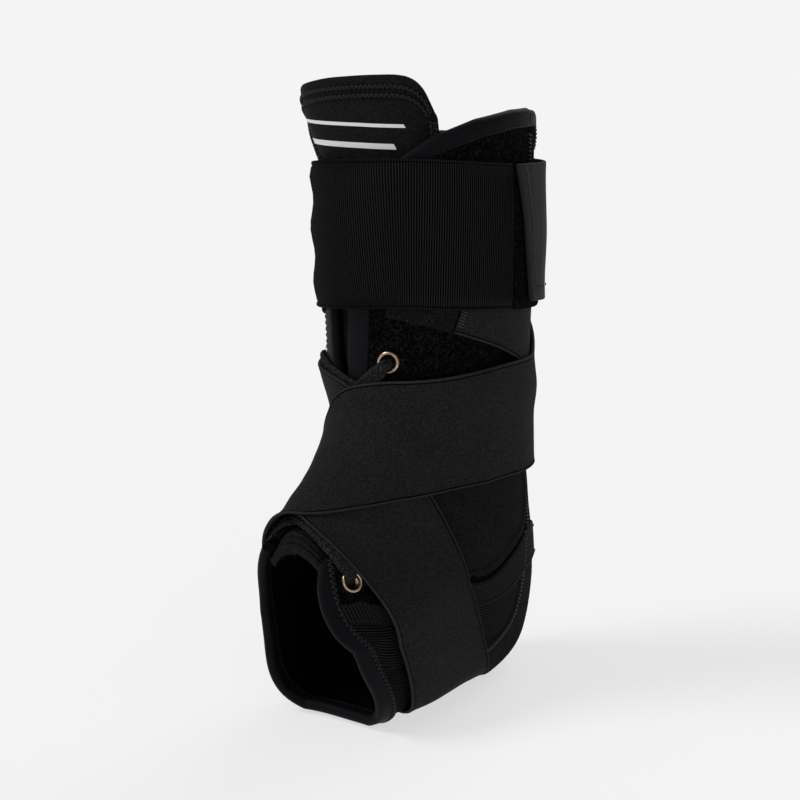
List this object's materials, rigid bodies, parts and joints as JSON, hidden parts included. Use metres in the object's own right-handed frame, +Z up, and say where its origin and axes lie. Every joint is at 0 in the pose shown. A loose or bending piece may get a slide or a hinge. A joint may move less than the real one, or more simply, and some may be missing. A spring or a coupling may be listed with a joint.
{
  "type": "ankle brace",
  "caption": "Black lace-up ankle brace with padded tongue, velour side panels, crossing elastic figure-eight straps and a wide closing cuff.",
  "frame": {"origin": "middle of the flat under the heel, on the surface that the brace stands on", "axes": "+X towards the toes, +Y towards the wearer's left, +Z up along the leg"},
  "size_m": [0.1512, 0.0929, 0.269],
  "materials": {
    "velour": "fuzzy loop velour",
    "tape": "smooth brushed binding",
    "padding": "smooth laminated padding",
    "ribbed": "ribbed elastic",
    "twill": "fine twill",
    "webbing": "ribbed webbing",
    "elastic": "woven elastic webbing",
    "brass": "polished, slightly worn",
    "cord": "flat braided"
  },
  "bodies": {
    "root": {"tongue": "padding", "left_side_panel": "velour", "right_side_panel": "velour", "back_panel": "velour", "left_edge_binding": "tape", "right_edge_binding": "tape", "back_edge_binding": "tape", "toe_binding": "tape", "heel_and_sole_cup": "ribbed", "ankle_band": "webbing", "left_stay_pocket": "twill", "right_stay_pocket": "twill", "inner_strap": "elastic", "inner_strap_tab": "velour", "outer_strap": "elastic", "outer_strap_tab": "velour", "cuff_strap": "elastic", "cuff_base": "velour", "cuff_tab": "webbing", "lace": "cord", "left_eyelet_1": "brass", "left_eyelet_2": "brass", "left_eyelet_3": "brass", "left_eyelet_4": "brass", "left_eyelet_5": "brass", "left_eyelet_6": "brass", "right_eyelet_1": "brass", "right_eyelet_2": "brass", "right_eyelet_3": "brass", "right_eyelet_4": "brass", "right_eyelet_5": "brass", "right_eyelet_6": "brass"}
  },
  "joints": []
}
